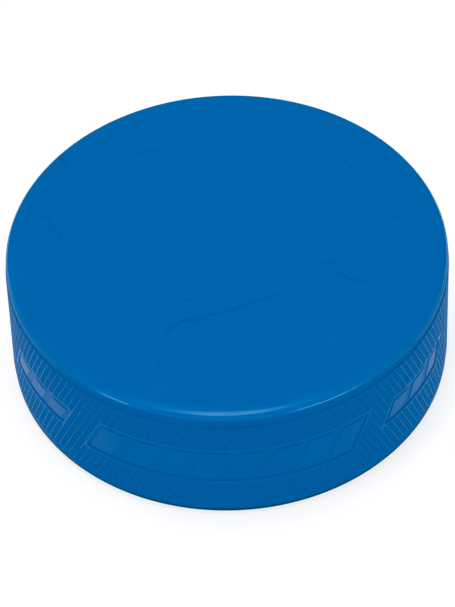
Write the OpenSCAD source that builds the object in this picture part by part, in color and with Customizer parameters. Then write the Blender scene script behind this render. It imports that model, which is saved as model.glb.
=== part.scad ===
/* [Disc] */
// Diameter across the grip band
puck_d = 76.2; // [60:0.1:100]
// Thickness from one flat face to the other
puck_h = 25.4; // [22:0.1:32]

/* [Faces and edges] */
// Width of the zone inside each face's rim where the face falls away
fall_w = 3.5; // [2:0.1:6]
// Slope of that zone, in degrees
fall_angle = 6; // [2:0.5:10]
// Radius of the bend between a face and the side
edge_r = 0.6; // [0.3:0.1:1.2]
// Lean of the shoulder that leads from the side into the bend, in degrees
shoulder_lean = 5; // [2:0.5:15]
// Height of the leaning shoulder, measured down from a flat face
shoulder_h = 2; // [1.8:0.1:2.6]

/* [Grip band] */
// Height of the band that carries the knurl, centred on the thickness
band_h = 19.5; // [12:0.1:20]
// How far the knurl's crests stand proud of the plain margins
band_step = 0.15; // [0.05:0.05:0.3]

/* [Blank panels] */
// Depth of each sunk panel below the knurl's crests
panel_depth = 0.2; // [0.2:0.05:0.6]
// Lean of the panels' ends away from upright, in degrees
panel_lean = 25.5; // [0:0.5:35]
// Height of the long middle panel
long_panel_h = 7.6; // [4:0.1:11]
// Arc of the long middle panel, in degrees
long_panel_arc = 72.8; // [40:0.1:85]
// Height of each short side panel
short_panel_h = 4.8; // [3:0.1:11]
// Arc of each short side panel, in degrees
short_panel_arc = 24.8; // [15:0.1:35]
// Arc left between two panels, in degrees
panel_gap_arc = 9.2; // [4:0.1:12]
// Bearing of the middle panel's centre, in degrees anticlockwise from +X
panel_bearing = 268; // [0:1:359]

/* [Hidden] */
$fn = 180;
// Radius of the knurl's crests, and of the plain margins above and below them
crest_r = puck_d / 2;
margin_r = crest_r - band_step;
half_h = puck_h / 2;
// How far two outlines overlap where one runs on into the other
overlap = 0.001;
// How far a cutter runs past the surface that it cuts
overrun = 1;
// Where the face starts to fall away, and where the shoulder starts to lean in
fall_start = [margin_r - fall_w, half_h];
shoulder_start = [margin_r, half_h - shoulder_h];
// Outward directions of the falling zone and of the shoulder
fall_normal = [sin(fall_angle), cos(fall_angle)];
shoulder_normal = [cos(shoulder_lean), sin(shoulder_lean)];
// The bend's centre, one radius inside both of those surfaces, so that it runs smoothly into each
bend = crossing(
    fall_start - edge_r * fall_normal, -fall_angle,
    shoulder_start - edge_r * shoulder_normal, 90 + shoulder_lean
);
// Arc by which a panel's strip runs past its ends before they are cut to their lean, in degrees
lean_room = 10;
// Turn from the middle panel's centre to each short panel's centre
side_panel_turn = (long_panel_arc + short_panel_arc) / 2 + panel_gap_arc;

// Point where the line through p at angle a meets the line through q at angle b
function crossing(p, a, q, b) =
    let (reach = ((q.x - p.x) * sin(b) - (q.y - p.y) * cos(b)) / sin(b - a))
    p + reach * [cos(a), sin(a)];

// Upper half of the disc's section, from the middle of the thickness to the flat face
module half_section() {
    polygon([
        [0, 0],
        [margin_r, 0],
        shoulder_start,
        bend + (edge_r - overlap) * shoulder_normal,
        bend,
        bend + (edge_r - overlap) * fall_normal,
        fall_start,
        [0, half_h]
    ]);
    translate(bend) circle(r = edge_r);
}

// Solid disc with softly bent edges and the grip band standing proud
module disc() {
    rotate_extrude() {
        half_section();
        mirror([0, 1]) half_section();
        translate([0, -band_h / 2]) square([crest_r, band_h]);
    }
}

// Cutter for one sunk panel: a strip of the band's skin, centred on a bearing, with both ends leaning alike
module panel_cutter(bearing, arc, height) {
    strip_arc = arc + 2 * lean_room;
    intersection() {
        rotate([0, 0, bearing - strip_arc / 2])
            rotate_extrude(angle = strip_arc)
                translate([crest_r - panel_depth, -height / 2])
                    square([panel_depth + overrun, height]);
        leaning_block(bearing - arc / 2, 1);
        leaning_block(bearing + arc / 2, -1);
    }
}

// Block whose leaning face stands on a bearing. It fills the anticlockwise side if side is 1, or the other if -1
module leaning_block(bearing, side) {
    block_w = 2 * puck_d;
    rotate([0, 0, bearing])
        rotate([-panel_lean, 0, 0])
            translate([block_w / 2, side * block_w / 2, 0])
                cube(block_w, center = true);
}

// The whole puck: one solid moulding, standing on its lower face
module puck_body() {
    color("dodgerblue")
        translate([0, 0, half_h])
            difference() {
                disc();
                panel_cutter(panel_bearing, long_panel_arc, long_panel_h);
                panel_cutter(panel_bearing - side_panel_turn, short_panel_arc, short_panel_h);
                panel_cutter(panel_bearing + side_panel_turn, short_panel_arc, short_panel_h);
            }
}

puck_body();
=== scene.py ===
"""Looks of the blue ice hockey puck: one moulded rubber disc with a knurled grip band and blank panels."""
import math
from types import SimpleNamespace

import bpy
from mathutils import Matrix, Vector


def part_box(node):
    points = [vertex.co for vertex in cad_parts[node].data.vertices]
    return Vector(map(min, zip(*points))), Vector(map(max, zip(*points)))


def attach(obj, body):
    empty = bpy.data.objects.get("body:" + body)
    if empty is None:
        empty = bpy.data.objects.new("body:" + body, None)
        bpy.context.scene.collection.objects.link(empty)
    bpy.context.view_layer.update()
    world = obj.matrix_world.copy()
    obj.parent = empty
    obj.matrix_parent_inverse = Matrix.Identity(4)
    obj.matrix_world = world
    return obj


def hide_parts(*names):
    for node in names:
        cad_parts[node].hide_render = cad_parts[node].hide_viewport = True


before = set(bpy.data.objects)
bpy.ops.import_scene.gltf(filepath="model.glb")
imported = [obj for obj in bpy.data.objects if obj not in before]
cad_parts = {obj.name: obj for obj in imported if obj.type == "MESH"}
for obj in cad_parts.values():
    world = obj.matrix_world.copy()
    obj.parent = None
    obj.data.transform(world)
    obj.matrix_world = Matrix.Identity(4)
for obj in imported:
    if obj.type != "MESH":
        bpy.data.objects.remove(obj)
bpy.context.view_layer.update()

# Sizes below are in millimetres and degrees. MM turns them into Blender's metres.
MM = 0.001
low_corner, high_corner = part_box("puck_body")
CREST_R = high_corner.x / MM
HALF_H = (high_corner.z - low_corner.z) / 2 / MM

# Side: the knurled band stands a little proud of the plain margins above and below it.
BAND_H = 19.5
MARGIN_R = CREST_R - 0.15
BAND_FOOT_W = 0.14

# Knurl: two crossing sets of ridges on a lattice. Columns are 1 degree apart, and ridges cross where
# column + row is even. A ridge's section is (share of its half width from the crest, share of its depth).
COLUMNS = 360
ROWS = 14
ROW_H = BAND_H / ROWS
BAND_FLOOR = HALF_H - BAND_H / 2
COLUMN_W = math.radians(360 / COLUMNS) * CREST_R
RIDGE_DEPTH = 0.13
RIDGE_HALF_W = 0.48
RIDGE_SECTION = ((0.1, 0.1), (0.4, 1), (0.54, 1), (0.88, 0.36), (1, 0.3))
LARGEST_INSET = 0.8

# Blank panels in the knurl: first and last column of the lower side, lower and upper row, number of bars.
# Both ends lean along a ridge, by one column for each row, and each corner is a ridge crossing. RIM_CREST is
# where the raised rim's flat top starts and ends inside the outline, and RIM_FOOT is where the floor starts.
PANELS = ((195, 221, 5, 9, 3), (228, 302, 4, 10, 8), (311, 337, 5, 9, 3))
RIM_CREST = (0.1, 0.22)
RIM_FOOT = 0.5
PANEL_DEPTH = 0.2
CORNER_R = 0.9
CORNER_STEPS = 4
BAR_EDGE_W = 0.28
BAR_TOP_DEPTH = 0.08
BAR_MARGIN = 0.45
BAR_GAP = 1.5
FLOOR_POLISH = 0.3
BAR_POLISH = 0.7

# Edge: a fine bead, a ledge where the mould parts, a tight bend, then the face that falls away to it.
BEAD_BELOW_FACE = 2.0
BEAD_W = 0.24
BEAD_H = 0.035
LEDGE_W = 0.2
LEDGE_R = 0.09
LEDGE_SLOPE = 42
LEDGE_SUPPORTS = (0.1, 0.9)
BEND_R = 0.5
BEND_END = 5
FALL_START_R = 33.8
FALL_DEPTH = 0.35
FALL_ANGLE = 18
FALL_STEPS = 10
BEND_STEPS = 7

# Ends: rings of points from the band in to the middle of a face. A ring has half as many points as the one
# before it at FIRST_HALVING, in the plain margin, and wherever its points would be closer than FINEST_RING.
RING_SPACING = 1.2
FINEST_RING = 0.05
FIRST_HALVING = 3

# Marks on the rubber, as (start, end, width). Places are millimetres from the middle of the lower face.
TOP = 2 * HALF_H
FLOW_LINES = (
    ((-12, -19.5, TOP), (-4, -15.5, TOP), 0.6), ((-6, -16.5, TOP), (5, -12, TOP), 0.5),
    ((2, -13.5, TOP), (10, -10.5, TOP), 0.4), ((-12, -15, TOP), (-4, -10, TOP), 0.3),
    ((-17, 22, TOP), (-10, 25, TOP), 0.4), ((13, -6, TOP), (21, -3, TOP), 0.5),
    ((17, -5.5, TOP), (25, -9, TOP), 0.4), ((23, 5, TOP), (32, 6, TOP), 0.3),
    ((-30, 27, TOP), (-25.5, 21.5, TOP), 1.1), ((-35, 15, TOP), (-27, 3, TOP), 0.35),
    ((12, 14, 0), (-1, 17.5, 0), 0.5), ((3, 17, 0), (-9, 14, 0), 0.4), ((-20, -8, 0), (-13, -15, 0), 0.45),
)
SPECKS = (((22, 18, TOP), (22.3, 18.1, TOP), 0.3), ((35, -3, TOP), (35.1, -2.8, TOP), 0.26),
          ((-8, 27, 0), (-7.7, 27, 0), 0.3))
SCUFF = ((30.5, -22.8, 9.5), (27.2, -26.7, 3), 0.16)
SPECKS_PER_MM = 0.16
FLOW_SWAY = (6, 6, 0)

# The rubber is duller below the ledge, and its blue is painted darker there as painted shade. LEDGE_FOOT is
# the ledge's height above the middle of the thickness.
LEDGE_FOOT = HALF_H - 1.08
# The lower edge is painted near-black up to these heights above the floor: a painted contact shadow.
CONTACT_SHADOW_TOP = 1.8
CONTACT_SHADOW_BOTTOM = 1.1

FACE = (0.014, 0.122, 0.41, 1)
FACE_CLOUD = (0.016, 0.129, 0.428, 1)
FACE_GRAIN = (0.015, 0.134, 0.44, 1)
# The side's blue is darker than the faces' blue as painted shade.
SHADED_SIDE = (0.011, 0.079, 0.345, 1)
# The paler crest blue is wear together with a painted highlight on the ridge crests.
CREST_WEAR_AND_HIGHLIGHT = (0.013, 0.11, 0.405, 1)
FLOW = (0.02, 0.085, 0.31, 1)
# This dark blue is painted shade deep in the knurl's pits, and also the colour of the grime specks.
PIT_SHADE_AND_GRIME = (0.014, 0.075, 0.28, 1)
# Near-black for the painted contact shadow along the lower edge.
CONTACT_SHADOW_COLOUR = (0.006, 0.02, 0.06, 1)
SCUFFED = (0.11, 0.075, 0.06, 1)
DARK_SPECK = (0.004, 0.03, 0.11, 1)
DUST = (0.1, 0.24, 0.5, 1)

# Roughness: the range on the faces and on the side, and how much wear takes off or a flow mark adds.
FACE_ROUGHNESS = (0.2, 0.27)
SIDE_ROUGHNESS = (0.5, 0.6)
CREST_POLISH = 0.25
LEDGE_POLISH = 0.13
FLOW_DULLING = 0.08

# Fine relief: its full height, and the share of that height which each kind of mark takes.
RELIEF_H = 0.012
RIPPLE_SHARE = 0.25
GRAIN_SHARE = 0.06
FLOW_SHARE = 0.7

# Studio, in metres: lamps as (name, bearing, elevation, width, height, radiance), with the angles they fill.
FLOOR_SIZE = 12
WALL_R = 2.5
WALL_H = 6
LAMP_DISTANCE = 4
LAMPS = (
    ("overhead", 150, 86, 30, 14, 10),
    ("left_front", -150, 29.5, 20, 8, 9.5),
    ("right_front", -43, 31, 34, 8, 8),
    ("front_fill", -90, 22, 50, 24, 1),
    ("back_fill", 90, 22, 50, 24, 0.35),
    ("left_back", 146, 25, 18, 16, 4),
)
SKY_RADIANCE = 0.33

# Camera, in metres and degrees.
SENSOR_W = 36
LENS = 229.7
VIEW_BEARING = -90
VIEW_ELEVATION = 47.73
VIEW_DISTANCE = 0.673
AIM = (-0.0002, 0, 0.0113)
ROLL = -2.157
RED_CUT = 0.05


def smooth_step(share):
    """Rises from 0 to 1 as the share does, with level ends, and stays level outside them."""
    return 0.5 - 0.5 * math.cos(math.pi * min(max(share, 0), 1))


def inset(points, distance):
    """Moves each side of an anticlockwise outline inwards by a distance, and returns the new corners."""
    corners = []
    for i, here in enumerate(points):
        before = (here - points[i - 1]).normalized()
        after = (points[(i + 1) % len(points)] - here).normalized()
        inwards = Vector((-before.y, before.x)), Vector((-after.y, after.x))
        corners.append(here + (inwards[0] + inwards[1]) * distance / (1 + inwards[0].dot(inwards[1])))
    return corners


def widest_inset(points):
    """Radius of the circle that fits in an outline whose sides all touch one circle."""
    area = rim = 0
    for i, here in enumerate(points):
        area += points[i - 1].cross(here) / 2
        rim += (here - points[i - 1]).length
    return 2 * area / rim


class Skin:
    """The puck's surface, grown face by face. Flat places are distance round the crest circle, and height."""

    def __init__(self):
        self.points = []
        self.polish = []
        self.faces = []
        self.creases = []
        self.crossings = {}

    def point(self, turn, radius, height, polish=0):
        """Adds a point and returns its number. Polish says how smooth the rubber is there, from 0 to 1."""
        angle = math.radians(turn)
        self.polish.append(polish)
        self.points.append((radius * math.cos(angle) * MM, radius * math.sin(angle) * MM, height * MM))
        return len(self.points) - 1

    def on_side(self, flat, depth, polish=0):
        return self.point(math.degrees(flat.x / CREST_R), CREST_R - depth, flat.y, polish)

    def crossing(self, column, row):
        """The shared point of a lattice place, at the height of the knurl's crests."""
        key = (column % COLUMNS, row)
        if key not in self.crossings:
            self.crossings[key] = self.on_side(flat_place(column, row), 0)
        return self.crossings[key]

    def ring(self, radius, height, count=COLUMNS):
        return [self.point(360 * i / count, radius, height) for i in range(count)]

    def face(self, *corners):
        self.faces.append(corners)

    def band(self, lower, upper):
        """Joins two closed loops with as many points each. Lower and upper are as seen from outside."""
        for i in range(len(lower)):
            self.face(lower[i - 1], lower[i], upper[i], upper[i - 1])


def flat_place(column, row):
    """Where a place of the knurl's lattice is on the side, rolled out flat."""
    return Vector((column * COLUMN_W, BAND_FLOOR + row * ROW_H))


def pit_corners(column, row):
    """Corners of the pit centred on a lattice place, or None inside a panel.

    A pit is cut in half along the band's edges and the panels' long sides.
    """
    left, below, right, above = (column - 1, row), (column, row - 1), (column + 1, row), (column, row + 1)
    centre = (column, row)
    if row == 0:
        below = centre
    if row == ROWS:
        above = centre
    for first, last, low_row, high_row, bars in PANELS:
        if first < column - (row - low_row) < last and low_row <= row <= high_row:
            if low_row < row < high_row:
                return None
            if row == low_row:
                above = centre
            else:
                below = centre
    return left, below, right, above


def add_knurl(skin):
    """Every pit between the ridges, round the whole band."""
    for row in range(ROWS + 1):
        for column in range((row + 1) % 2, COLUMNS, 2):
            corners = pit_corners(column, row)
            if corners:
                add_pit(skin, corners)


def add_pit(skin, corners):
    """One pit, from the ridges' crests round it down to its floor. Its flanks meet in creases."""
    outline = [flat_place(*corner) for corner in corners]
    width = min(RIDGE_HALF_W, LARGEST_INSET * widest_inset(outline))
    loop = [skin.crossing(*corner) for corner in corners]
    for reach, fall in RIDGE_SECTION:
        depth = RIDGE_DEPTH * fall * width / RIDGE_HALF_W
        inner = [skin.on_side(flat, depth) for flat in inset(outline, reach * width)]
        skin.band(loop, inner)
        skin.creases += zip(loop, inner)
        loop = inner
    skin.face(*loop)


def rounded(corners, radius, runs):
    """An outline with its corners rounded off, and each side after its corner cut into a number of runs."""
    arcs = []
    for i, corner in enumerate(corners):
        back = (corners[i - 1] - corner).normalized()
        ahead = (corners[(i + 1) % len(corners)] - corner).normalized()
        middle = (back + ahead).normalized()
        half = middle.angle(ahead)
        centre = corner + middle * radius / math.sin(half)
        start = math.atan2(back.x, -back.y)
        turns = [start + (math.pi - 2 * half) * step / CORNER_STEPS for step in range(CORNER_STEPS + 1)]
        arcs.append([centre + radius * Vector((math.cos(turn), math.sin(turn))) for turn in turns])
    loop = []
    for i, arc in enumerate(arcs):
        ahead = arcs[(i + 1) % len(arcs)][0]
        loop += arc + [arc[-1].lerp(ahead, step / runs[i % 2]) for step in range(1, runs[i % 2])]
    return loop


def stitch(skin, outer, inner):
    """Joins two closed loops of different counts with triangles. Each is a list of (point, flat place)."""
    nearest = min(range(len(inner)), key=lambda i: (inner[i][1] - outer[0][1]).length)
    inner = inner[nearest:] + inner[:nearest]
    outer, inner = outer + outer[:1], inner + inner[:1]
    i = j = 0
    while i < len(outer) - 1 or j < len(inner) - 1:
        step_outer = i < len(outer) - 1
        if step_outer and j < len(inner) - 1:
            ahead_outer = (outer[i + 1][1] - inner[j][1]).length
            ahead_inner = (outer[i][1] - inner[j + 1][1]).length
            step_outer = ahead_outer < ahead_inner
        if step_outer:
            skin.face(outer[i][0], outer[i + 1][0], inner[j][0])
            i += 1
        else:
            skin.face(outer[i][0], inner[j + 1][0], inner[j][0])
            j += 1


def add_panel(skin, first, last, low_row, high_row, bars):
    """A blank sunk panel with a fine raised rim and a row of plain leaning bars, in place of the knurl."""
    rise = high_row - low_row
    places = [(column, low_row) for column in range(first, last)]
    places += [(last + step, low_row + step) for step in range(rise)]
    places += [(column + rise, high_row) for column in range(last, first, -1)]
    places += [(first + step, low_row + step) for step in range(rise, 0, -1)]
    outer = [(skin.crossing(*place), flat_place(*place)) for place in places]
    corners = [flat_place(first, low_row), flat_place(last, low_row),
               flat_place(last + rise, high_row), flat_place(first + rise, high_row)]
    slope = [(RIM_CREST[1] + (RIM_FOOT - RIM_CREST[1]) * step / 3, PANEL_DEPTH * smooth_step(step / 3))
             for step in range(4)]
    loop = None
    for gap, depth in [(RIM_CREST[0], 0)] + slope:
        flats = rounded(inset(corners, gap), CORNER_R - gap, ((last - first) // 2, rise))
        points = [skin.on_side(flat, depth) for flat in flats]
        if loop:
            skin.band(loop, points)
        else:
            stitch(skin, outer, list(zip(points, flats)))
        loop = points
    add_bars(skin, list(zip(loop, flats)), corners, bars)


def edge_steps(start, end, cuts):
    """Places along a bar from edge to edge, as (place, how far risen from 0 to 1)."""
    foot = [(start + BAR_EDGE_W * step / 3, smooth_step(step / 3)) for step in range(-1, 5)]
    head = [(end - BAR_EDGE_W * step / 3, smooth_step(step / 3)) for step in range(4, -2, -1)]
    left, right = foot[-1][0], head[0][0]
    return foot + [(left + (right - left) * cut / cuts, 1) for cut in range(1, cuts)] + head


def add_bars(skin, edge, corners, bars):
    """Fills a panel's floor with plain bars that lean as its ends do, and joins them to the floor's edge."""
    lean = COLUMN_W / ROW_H
    margin = RIM_FOOT + BAR_MARGIN
    length, height = corners[1].x - corners[0].x, corners[2].y - corners[1].y
    end_margin = margin * math.hypot(1, lean)
    pitch = (length - 2 * end_margin + BAR_GAP) / bars
    along = [place for bar in range(bars)
             for place in edge_steps(end_margin + bar * pitch, end_margin + (bar + 1) * pitch - BAR_GAP, 3)]
    grid = []
    for up, risen_up in edge_steps(margin, height - margin, 2):
        row = []
        for reach, risen_along in along:
            flat = corners[0] + Vector((reach + up * lean, up))
            risen = risen_along * risen_up
            depth = PANEL_DEPTH - (PANEL_DEPTH - BAR_TOP_DEPTH) * risen
            polish = FLOOR_POLISH + (BAR_POLISH - FLOOR_POLISH) * risen
            row.append((skin.on_side(flat, depth, polish), flat))
        grid.append(row)
    for lower, upper in zip(grid, grid[1:]):
        for i in range(len(lower) - 1):
            skin.face(lower[i][0], lower[i + 1][0], upper[i + 1][0], upper[i][0])
    rim = grid[0][:-1] + [row[-1] for row in grid[:-1]] + grid[-1][:0:-1] + [row[0] for row in grid[:0:-1]]
    stitch(skin, edge, rim)


def arc(centre, radius, start, end, steps):
    """Points of an arc in the section, from one angle above the horizontal to another, in degrees."""
    turns = [math.radians(start + (end - start) * step / steps) for step in range(steps + 1)]
    return [(centre[0] + radius * math.cos(turn), centre[1] + radius * math.sin(turn)) for turn in turns]


def edge_profile():
    """Radius and height above the middle, from the band's edge up and in to where the face is flat."""
    top = BAND_H / 2
    step_in = CREST_R - MARGIN_R
    profile = [(CREST_R - step_in * smooth_step(i / 3), top + BAND_FOOT_W * i / 3) for i in (1, 2, 3)]
    bead = HALF_H - BEAD_BELOW_FACE
    profile += [(MARGIN_R, (profile[-1][1] + bead) / 2)]
    for i in (-2, -1, 0, 1, 2):
        profile.append((MARGIN_R + BEAD_H * smooth_step(1 - abs(i) / 2), bead + BEAD_W * i / 4))
    bend_end = math.radians(BEND_END)
    bend = (MARGIN_R - LEDGE_W - BEND_R * math.cos(bend_end),
            HALF_H - FALL_DEPTH - BEND_R * math.cos(math.radians(FALL_ANGLE)))
    slope = math.radians(LEDGE_SLOPE)
    ledge_r = MARGIN_R - LEDGE_R
    run = (ledge_r + LEDGE_R * math.cos(slope) - (MARGIN_R - LEDGE_W)) / math.sin(slope)
    ledge_z = bend[1] + BEND_R * math.sin(bend_end) - LEDGE_R * math.sin(slope) - run * math.cos(slope)
    profile += [(MARGIN_R, (profile[-1][1] + ledge_z) / 2)]
    foot = arc((ledge_r, ledge_z), LEDGE_R, 0, LEDGE_SLOPE, 3)
    shoulder = arc(bend, BEND_R, BEND_END, 90 - FALL_ANGLE, BEND_STEPS)
    ledge = [Vector(foot[-1]).lerp(Vector(shoulder[0]), share) for share in LEDGE_SUPPORTS]
    profile += foot + [tuple(point) for point in ledge] + shoulder
    rim_r = profile[-1][0]
    power = math.tan(math.radians(FALL_ANGLE)) * (rim_r - FALL_START_R) / FALL_DEPTH
    for i in range(1, FALL_STEPS + 1):
        share = 1 - i / FALL_STEPS
        profile.append((FALL_START_R + (rim_r - FALL_START_R) * share, HALF_H - FALL_DEPTH * share ** power))
    return profile


def add_end(skin, side):
    """Everything from the band to the middle of one face: the upper one if side is 1, or the lower if -1.

    The loops of points run inwards, and each is joined to the one before.
    """
    loop = [skin.crossing(column, ROWS if side == 1 else 0) for column in range(COLUMNS)]
    profile = edge_profile()
    while profile[-1][0] > 2.5 * RING_SPACING:
        profile.append((profile[-1][0] - RING_SPACING, HALF_H))
    for step, (radius, height) in enumerate(profile):
        halved = step == FIRST_HALVING or radius / len(loop) < FINEST_RING
        ring = skin.ring(radius, HALF_H + side * height, len(loop) // 2 if halved else len(loop))
        for i in range(len(ring)):
            if halved:
                near, middle, far = loop[2 * i - 2], loop[2 * i - 1], loop[2 * i]
                last, here = ring[i - 1], ring[i]
                for corners in (last, near, middle), (last, middle, here), (here, middle, far):
                    skin.face(*corners[::side])
            else:
                skin.face(*(loop[i - 1], loop[i], ring[i], ring[i - 1])[::side])
        loop = ring
    centre = skin.point(0, 0, HALF_H * (1 + side))
    for i in range(len(loop)):
        skin.face(*(centre, loop[i - 1], loop[i])[::side])


def make_puck():
    """The whole puck as one closed mesh, with a polish value on its points and creases in the pits."""
    skin = Skin()
    add_knurl(skin)
    for panel in PANELS:
        add_panel(skin, *panel)
    add_end(skin, 1)
    add_end(skin, -1)
    mesh = bpy.data.meshes.new("puck")
    mesh.from_pydata(skin.points, [], skin.faces)
    mesh.shade_smooth()
    mesh.attributes.new("polish", "FLOAT", "POINT").data.foreach_set("value", skin.polish)
    creases = {frozenset(pair) for pair in skin.creases}
    for edge in mesh.edges:
        edge.use_edge_sharp = frozenset(edge.vertices) in creases
    puck = bpy.data.objects.new("puck", mesh)
    bpy.context.scene.collection.objects.link(puck)
    return puck


class Nodes:
    """Short ways to add and join a material's nodes."""

    def __init__(self, name):
        self.material = bpy.data.materials.new(name)
        self.material.use_nodes = True
        self.tree = self.material.node_tree
        self.shader = self.tree.nodes["Principled BSDF"]

    def add(self, kind, inputs=(), **settings):
        """Adds a node. Each input is given as (socket, value or the output that feeds it)."""
        node = self.tree.nodes.new(kind)
        for name, value in settings.items():
            setattr(node, name, value)
        for socket, value in inputs:
            self.feed(node.inputs[socket], value)
        return node

    def feed(self, socket, value):
        if isinstance(value, bpy.types.NodeSocket):
            self.tree.links.new(value, socket)
        else:
            socket.default_value = value

    def math(self, operation, *values, clamp=False):
        node = self.add("ShaderNodeMath", enumerate(values), operation=operation, use_clamp=clamp)
        return node.outputs[0]

    def both(self, mask, other):
        """Where two masks overlap."""
        return self.math("MULTIPLY", mask, other)

    def ramp(self, value, low, high, out_low=0.0, out_high=1.0):
        """Smooth change from one value to another as an input goes from low to high."""
        inputs = enumerate((value, low, high, out_low, out_high))
        return self.add("ShaderNodeMapRange", inputs, interpolation_type="SMOOTHSTEP").outputs[0]


def noise(nodes, place, per_mm, detail=2.0, stretch=(1, 1, 1)):
    """Soft random value from 0 to 1 whose lumps are about 1 / per_mm millimetres wide."""
    spread = nodes.add("ShaderNodeVectorMath", [(0, place), (1, stretch)], operation="MULTIPLY").outputs[0]
    return nodes.add("ShaderNodeTexNoise", [("Vector", spread), ("Scale", per_mm), ("Detail", detail)])


def near_line(nodes, place, start, end, width):
    """1 on a straight line, falling smoothly to 0 at a distance of its width."""
    start, run = Vector(start), Vector(end) - Vector(start)
    away = nodes.add("ShaderNodeVectorMath", [(0, place), (1, start)], operation="SUBTRACT").outputs[0]
    scaled_run = run / run.length_squared
    along = nodes.add("ShaderNodeVectorMath", [(0, away), (1, scaled_run)], operation="DOT_PRODUCT")
    share = nodes.math("MULTIPLY", along.outputs["Value"], 1, clamp=True)
    reach = nodes.add("ShaderNodeVectorMath", [(0, run), ("Scale", share)], operation="SCALE").outputs[0]
    gap = nodes.add("ShaderNodeVectorMath", [(0, away), (1, reach)], operation="DISTANCE").outputs["Value"]
    thinning = nodes.ramp(nodes.math("PINGPONG", share, 0.5), 0, 0.3, 0.25, 1)
    return nodes.math("MULTIPLY", nodes.ramp(gap, 0, width, 1, 0), thinning)


def highest(nodes, values):
    """The largest of several values at each place."""
    result = values[0]
    for value in values[1:]:
        result = nodes.math("MAXIMUM", result, value)
    return result


def specks(nodes, place):
    """Sparse round specks up to 0.3 mm in radius. Gives a mask, and a random value for each speck."""
    cells = nodes.add("ShaderNodeTexVoronoi", [("Vector", place), ("Scale", SPECKS_PER_MM)])
    chance = nodes.add("ShaderNodeSeparateColor", [(0, cells.outputs["Color"])])
    size = nodes.ramp(chance.outputs["Red"], 0.75, 1, 0, 0.3 * SPECKS_PER_MM)
    return nodes.math("LESS_THAN", cells.outputs["Distance"], size), chance.outputs["Green"]


def blend(nodes, share, colour, other):
    """Mixes two colours. share is how much of the second one shows."""
    mix = nodes.add("ShaderNodeMix", data_type="RGBA")
    for socket, value in ((0, share), (6, colour), (7, other)):
        nodes.feed(mix.inputs[socket], value)
    return mix.outputs[2]


def side_zones(nodes, place, flat):
    """Masks of the zones of the side, which run from 0 outside a zone to 1 in it."""
    height = nodes.add("ShaderNodeSeparateXYZ", [(0, place)]).outputs["Z"]
    radius = nodes.add("ShaderNodeVectorMath", [(0, flat)], operation="LENGTH").outputs["Value"]
    from_middle = nodes.math("ABSOLUTE", nodes.math("SUBTRACT", height, HALF_H))
    side = nodes.both(nodes.ramp(from_middle, LEDGE_FOOT - 0.1, LEDGE_FOOT, 1, 0),
                      nodes.ramp(radius, MARGIN_R - 2, MARGIN_R - 1))
    ledge = nodes.both(nodes.ramp(from_middle, LEDGE_FOOT + 0.35, LEDGE_FOOT + 0.45, 1, 0),
                       nodes.ramp(radius, MARGIN_R - 0.6, MARGIN_R - 0.4))
    low_edge = nodes.both(nodes.ramp(height, CONTACT_SHADOW_BOTTOM, CONTACT_SHADOW_TOP, 1, 0),
                          nodes.ramp(radius, MARGIN_R - 0.75, MARGIN_R - 0.45))
    return SimpleNamespace(
        side=side,
        ledge=ledge,
        low_edge=low_edge,
        crest=nodes.both(side, nodes.ramp(radius, CREST_R - 0.06, CREST_R - 0.005)),
        pit=nodes.both(side, nodes.ramp(radius, CREST_R - 0.12, CREST_R - 0.06, 1, 0)),
        polish=nodes.add("ShaderNodeAttribute", attribute_name="polish").outputs["Fac"],
    )


def surface_marks(nodes, place, flat):
    """Soft variation of the rubber, and masks of the marks on it."""
    grain = noise(nodes, place, 3.5, 3).outputs["Fac"]
    random = noise(nodes, flat, 0.16, 1.5).outputs["Color"]
    shift = nodes.add("ShaderNodeVectorMath", [(0, random), (1, (0.5, 0.5, 0.5))], operation="SUBTRACT")
    sway = [(0, shift.outputs[0]), (1, FLOW_SWAY), (2, place)]
    wavy = nodes.add("ShaderNodeVectorMath", sway, operation="MULTIPLY_ADD").outputs[0]
    return SimpleNamespace(
        cloud=noise(nodes, place, 0.09, 5).outputs["Fac"],
        grain=grain,
        smear=noise(nodes, place, 0.35, 4, (0.35, 1, 1)).outputs["Fac"],
        ripple=noise(nodes, place, 0.8, 3).outputs["Fac"],
        flow=highest(nodes, [near_line(nodes, wavy, *line) for line in FLOW_LINES]),
        scuff=nodes.both(near_line(nodes, place, *SCUFF), nodes.ramp(grain, 0.4, 0.55)),
        spots=highest(nodes, [near_line(nodes, place, *spot) for spot in SPECKS]),
    )


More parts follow.
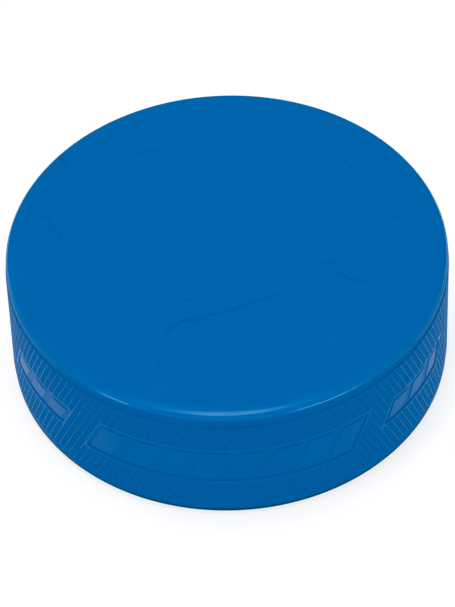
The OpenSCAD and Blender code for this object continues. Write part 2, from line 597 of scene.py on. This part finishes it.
def rubber_colour(nodes, place, zones, marks):
    """Blue, with painted shade darkening the side, paler crests from wear and a painted highlight, painted
    shade deep in the pits, a painted contact shadow along the lower edge, and specks.
    """
    # Crests: wear, made paler as a painted highlight.
    crest_wear_and_highlight = nodes.both(zones.crest, nodes.ramp(marks.smear, 0.3, 0.7, 0.2, 0.8))
    # Pits: painted shade deep in the recesses between the ridges.
    pit_shade = nodes.both(zones.pit, nodes.ramp(marks.cloud, 0.35, 0.65, 0, 0.25))
    # Lower edge: a painted contact shadow.
    contact_shadow = nodes.both(zones.low_edge, nodes.ramp(marks.smear, 0.3, 0.6, 0.75, 1))
    speck, speck_kind = specks(nodes, place)
    speck_colour = blend(nodes, nodes.math("GREATER_THAN", speck_kind, 0.6), PIT_SHADE_AND_GRIME, DUST)
    colour = blend(nodes, nodes.ramp(marks.cloud, 0.3, 0.7), FACE, FACE_CLOUD)
    colour = blend(nodes, nodes.ramp(marks.grain, 0.25, 0.75, 0, 0.5), colour, FACE_GRAIN)
    # Painted shade: the whole side is mixed towards a darker blue than the faces.
    colour = blend(nodes, nodes.math("MULTIPLY", zones.side, 0.8), colour, SHADED_SIDE)
    colour = blend(nodes, nodes.math("MULTIPLY", marks.flow, 0.55), colour, FLOW)
    colour = blend(nodes, crest_wear_and_highlight, colour, CREST_WEAR_AND_HIGHLIGHT)
    colour = blend(nodes, pit_shade, colour, PIT_SHADE_AND_GRIME)
    colour = blend(nodes, contact_shadow, colour, CONTACT_SHADOW_COLOUR)
    colour = blend(nodes, nodes.math("MULTIPLY", marks.scuff, 0.7), colour, SCUFFED)
    colour = blend(nodes, marks.spots, colour, DARK_SPECK)
    return blend(nodes, nodes.math("MULTIPLY", speck, 0.6), colour, speck_colour)


def rubber_roughness(nodes, zones, marks):
    """Satin faces with a glossier ledge, and a dull side with polished crests and bars."""
    face = nodes.ramp(marks.smear, 0.3, 0.7, *FACE_ROUGHNESS)
    face = nodes.math("MULTIPLY_ADD", zones.ledge, -LEDGE_POLISH, face)
    side = nodes.ramp(marks.grain, 0.3, 0.7, *SIDE_ROUGHNESS)
    side = nodes.math("MULTIPLY_ADD", nodes.math("MAXIMUM", zones.crest, zones.polish), -CREST_POLISH, side)
    finish = nodes.add("ShaderNodeMix", [(0, zones.side), (2, face), (3, side)]).outputs[0]
    return nodes.math("MULTIPLY_ADD", marks.flow, FLOW_DULLING, finish)


def rubber_relief(nodes, marks):
    """A slight ripple and grain, with the flow marks cut a little into the surface."""
    relief = nodes.math("MULTIPLY", marks.grain, GRAIN_SHARE)
    relief = nodes.math("MULTIPLY_ADD", marks.ripple, RIPPLE_SHARE, relief)
    relief = nodes.math("SUBTRACT", relief, nodes.math("MULTIPLY", marks.flow, FLOW_SHARE))
    bump = nodes.add("ShaderNodeBump", [("Height", relief), ("Strength", 1.0), ("Distance", RELIEF_H * MM)])
    return bump.outputs[0]


def rubber():
    """Blue moulded rubber, with its grain and marks placed in millimetres on the puck."""
    nodes = Nodes("blue_rubber")
    metres = nodes.add("ShaderNodeTexCoord").outputs["Object"]
    place = nodes.add("ShaderNodeVectorMath", [(0, metres), ("Scale", 1 / MM)], operation="SCALE").outputs[0]
    flat = nodes.add("ShaderNodeVectorMath", [(0, place), (1, (1, 1, 0))], operation="MULTIPLY").outputs[0]
    zones = side_zones(nodes, place, flat)
    marks = surface_marks(nodes, place, flat)
    nodes.feed(nodes.shader.inputs["Base Color"], rubber_colour(nodes, place, zones, marks))
    nodes.feed(nodes.shader.inputs["Roughness"], rubber_roughness(nodes, zones, marks))
    nodes.feed(nodes.shader.inputs["Normal"], rubber_relief(nodes, marks))
    nodes.shader.inputs["Specular IOR Level"].default_value = 0.23
    nodes.shader.inputs["Specular Tint"].default_value = (0.6, 0.9, 1, 1)
    return nodes.material


def make_pale(piece, name, grey, glow):
    """Names a piece of the studio and makes it a matt grey that glows white."""
    piece.name = name
    nodes = Nodes("pale_" + name)
    settings = {"Base Color": (grey, grey, grey, 1), "Roughness": 0.9, "Specular IOR Level": 0,
                "Emission Color": (1, 1, 1, 1), "Emission Strength": glow}
    for socket, value in settings.items():
        nodes.shader.inputs[socket].default_value = value
    piece.data.materials.append(nodes.material)
    return piece


def pale_floor():
    """A floor just under the puck, so that their faces don't share one plane."""
    bpy.ops.mesh.primitive_plane_add(size=FLOOR_SIZE, location=(0, 0, -0.1 * MM))
    return make_pale(bpy.context.object, "floor", 0.35, 0.72)


def pale_backdrop():
    """A round wall on the floor that only the camera sees."""
    bpy.ops.mesh.primitive_cylinder_add(vertices=96, radius=WALL_R, depth=WALL_H, end_fill_type="NOTHING")
    wall = make_pale(bpy.context.object, "backdrop", 0, 0.9)
    wall.visible_diffuse = False
    wall.visible_glossy = False
    wall.visible_shadow = False
    return wall


def direction(bearing, elevation):
    """Unit vector towards a bearing, anticlockwise from +X, and an elevation above the floor."""
    turn, rise = math.radians(bearing), math.radians(elevation)
    return Vector((math.cos(turn) * math.cos(rise), math.sin(turn) * math.cos(rise), math.sin(rise)))


def softbox(name, bearing, elevation, width, height, radiance):
    """A rectangular light that faces the puck. Width and height are the angles that it fills from there."""
    light = bpy.data.lights.new(name, "AREA")
    light.shape = "RECTANGLE"
    light.size = 2 * LAMP_DISTANCE * math.tan(math.radians(width / 2))
    light.size_y = 2 * LAMP_DISTANCE * math.tan(math.radians(height / 2))
    light.energy = radiance * math.pi * light.size * light.size_y
    lamp = bpy.data.objects.new(name, light)
    away = direction(bearing, elevation)
    lamp.location = away * LAMP_DISTANCE
    lamp.rotation_euler = away.to_track_quat("Z", "Y").to_euler()
    lamp.visible_camera = False
    bpy.context.scene.collection.objects.link(lamp)


def light_studio():
    """Soft lamps round the puck, and an even pale light from everywhere that glossy surfaces don't mirror."""
    for lamp in LAMPS:
        softbox(*lamp)
    world = bpy.data.worlds.new("studio")
    world.use_nodes = True
    background = world.node_tree.nodes["Background"]
    background.inputs["Color"].default_value = (1, 1, 1, 1)
    background.inputs["Strength"].default_value = SKY_RADIANCE
    world.cycles_visibility.glossy = False
    bpy.context.scene.world = world


def add_camera():
    """A long lens from the front, looking down at the puck, with a slight roll."""
    camera = bpy.data.objects.new("camera", bpy.data.cameras.new("camera"))
    bpy.context.scene.collection.objects.link(camera)
    camera.data.sensor_width = SENSOR_W
    camera.data.lens = LENS
    middle = Vector((0, 0, HALF_H * MM))
    camera.location = middle + direction(VIEW_BEARING, VIEW_ELEVATION) * VIEW_DISTANCE
    forward = (Vector(AIM) - camera.location).normalized()
    right = forward.cross(Vector((0, 0, 1))).normalized()
    level = Matrix((right, right.cross(forward), -forward)).transposed()
    camera.rotation_euler = (level @ Matrix.Rotation(math.radians(ROLL), 3, "Z")).to_euler()
    bpy.context.scene.camera = camera


def set_view():
    """Plain view colours, but with the faintest reds cut off, since the real blue has none."""
    view = bpy.context.scene.view_settings
    view.view_transform = "Standard"
    view.use_curve_mapping = True
    view.curve_mapping.black_level = (RED_CUT, 0, 0)


puck = make_puck()
puck.data.materials.append(rubber())
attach(puck, "root")
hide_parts("puck_body")
pale_floor()
pale_backdrop()
light_studio()
add_camera()
set_view()
